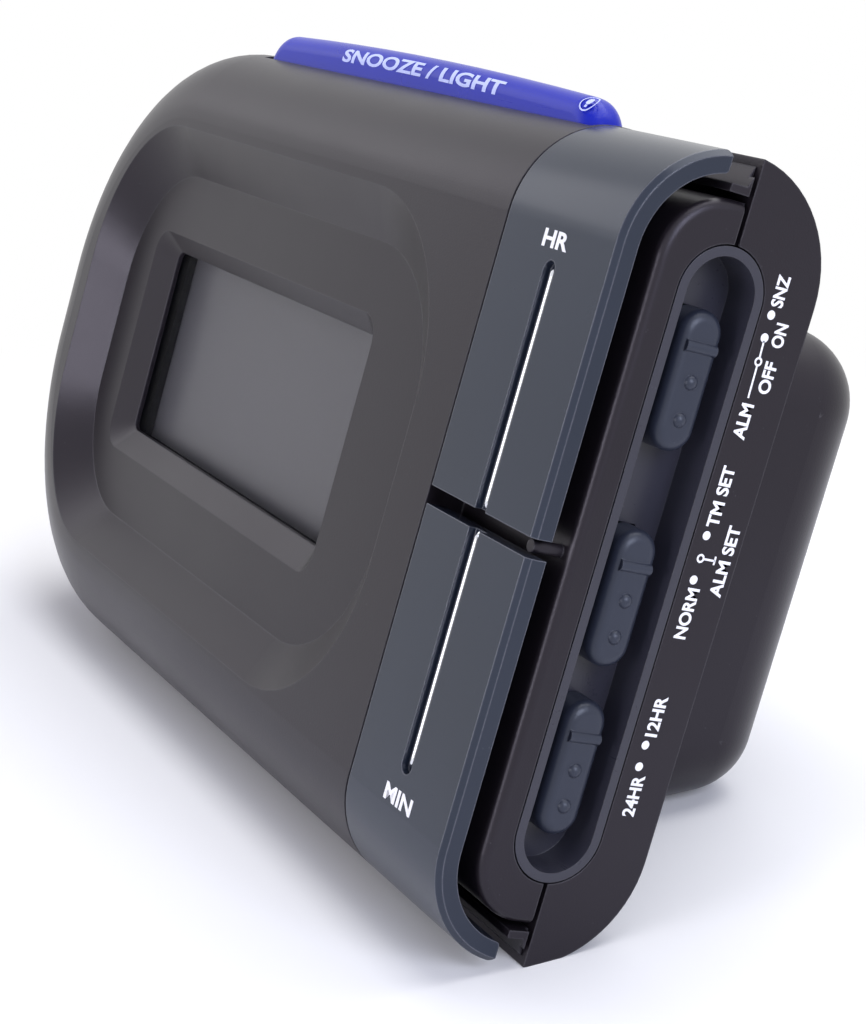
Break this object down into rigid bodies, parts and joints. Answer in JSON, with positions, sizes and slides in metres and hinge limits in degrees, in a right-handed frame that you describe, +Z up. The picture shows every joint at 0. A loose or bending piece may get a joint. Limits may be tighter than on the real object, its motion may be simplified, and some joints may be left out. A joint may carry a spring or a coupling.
{
  "type": "digital alarm clock",
  "caption": "Small battery alarm clock that leans back on a deep rear body, with an LCD window, a snooze bar, wrapped keys and slide switches.",
  "frame": {"origin": "centre of the outline seen from above, at the height of the surface that the clock stands on", "axes": "+X to the right of someone reading the display, +Y to the back, +Z up; the display leans back by 18 degrees"},
  "size_m": [0.13, 0.0618, 0.0752],
  "materials": {
    "case_plastic": "fine satin, dark warm grey",
    "key_plastic": "semi-gloss slate grey",
    "knob_plastic": "satin slate grey",
    "tray_plastic": "satin, near black",
    "bar_plastic": "semi-gloss blue",
    "frame_plastic": "matt black",
    "clear_plastic": "clear, gloss",
    "display_glass": "grey display glass",
    "light_plastic": "frosted clear",
    "led_white": "white moulding",
    "strip_rubber": "pink and black layered rubber",
    "board_green": "green lacquered board",
    "chip_resin": "black resin",
    "can_metal": "tinned can",
    "sleeve_black": "black sleeve",
    "switch_body": "black switch",
    "pad_rubber": "grey silicone",
    "spring_steel": "bright wire",
    "nickel": "nickel plate",
    "screw_steel": "zinc-plated",
    "wiper_brass": "spring brass",
    "buzzer_brass": "brass disc",
    "ribbon_white": "white flat cable",
    "cell_jacket": "plain dark jacket",
    "red_wire": "red insulation",
    "black_wire": "black insulation",
    "buzzer_wire": "yellow insulation"
  },
  "bodies": {
    "case": {"front_case": "case_plastic", "rear_case": "case_plastic", "switch_tray": "tray_plastic", "display_window": "clear_plastic", "lcd_frame": "frame_plastic", "lcd_panel": "display_glass", "light_guide": "light_plastic", "backlight_led": "led_white", "upper_contact_strip": "strip_rubber", "lower_contact_strip": "strip_rubber", "main_board": "board_green", "switch_board": "board_green", "clock_chip": "chip_resin", "crystal": "can_metal", "capacitor": "sleeve_black", "chip_resistors": "chip_resin", "snooze_switch": "switch_body", "hour_key_pad": "pad_rubber", "minute_key_pad": "pad_rubber", "snooze_springs": "spring_steel", "contact_spring": "nickel", "contact_plate": "nickel", "board_screws": "screw_steel", "case_screws": "screw_steel", "buzzer_disc": "buzzer_brass", "switch_ribbon": "ribbon_white", "battery": "cell_jacket", "positive_lead": "red_wire", "negative_lead": "black_wire", "buzzer_leads": "buzzer_wire"},
    "hour_key_body": {"hour_key": "key_plastic"},
    "minute_key_body": {"minute_key": "key_plastic"},
    "snooze_bar_body": {"snooze_bar": "bar_plastic"},
    "alarm_switch": {"alarm_knob": "knob_plastic", "alarm_wiper": "wiper_brass"},
    "mode_switch": {"mode_knob": "knob_plastic", "mode_wiper": "wiper_brass"},
    "hour_format_switch": {"hour_format_knob": "knob_plastic", "hour_format_wiper": "wiper_brass"},
    "door": {"battery_door": "case_plastic"}
  },
  "joints": [
    {"name": "hour_key_press", "type": "slide", "parent": "case", "child": "hour_key_body", "axis": [0, 0.9511, -0.309], "range_m": [0, 0.0015], "stiffness_N_per_m": 500, "springref_m": -0.0005, "deforming": ["hour_key_pad"]},
    {"name": "minute_key_press", "type": "slide", "parent": "case", "child": "minute_key_body", "axis": [0, 0.9511, -0.309], "range_m": [0, 0.0015], "stiffness_N_per_m": 500, "springref_m": -0.0005, "deforming": ["minute_key_pad"]},
    {"name": "snooze_press", "type": "slide", "parent": "case", "child": "snooze_bar_body", "axis": [0, -0.309, -0.9511], "range_m": [0, 0.0015], "stiffness_N_per_m": 500, "springref_m": -0.0008, "deforming": ["snooze_springs"]},
    {"name": "alarm_slide", "type": "slide", "parent": "case", "child": "alarm_switch", "axis": [0, 0.309, 0.9511], "range_m": [0, 0.0042]},
    {"name": "mode_slide", "type": "slide", "parent": "case", "child": "mode_switch", "axis": [0, 0.309, 0.9511], "range_m": [0, 0.0042]},
    {"name": "hour_format_slide", "type": "slide", "parent": "case", "child": "hour_format_switch", "axis": [0, 0.309, 0.9511], "range_m": [-0.0021, 0]},
    {"name": "door_hinge", "type": "hinge", "parent": "case", "child": "door", "pos_m": [0, 0.01943, 0.00805], "axis": [-1, 0, 0], "range_deg": [0, 95]}
  ]
}
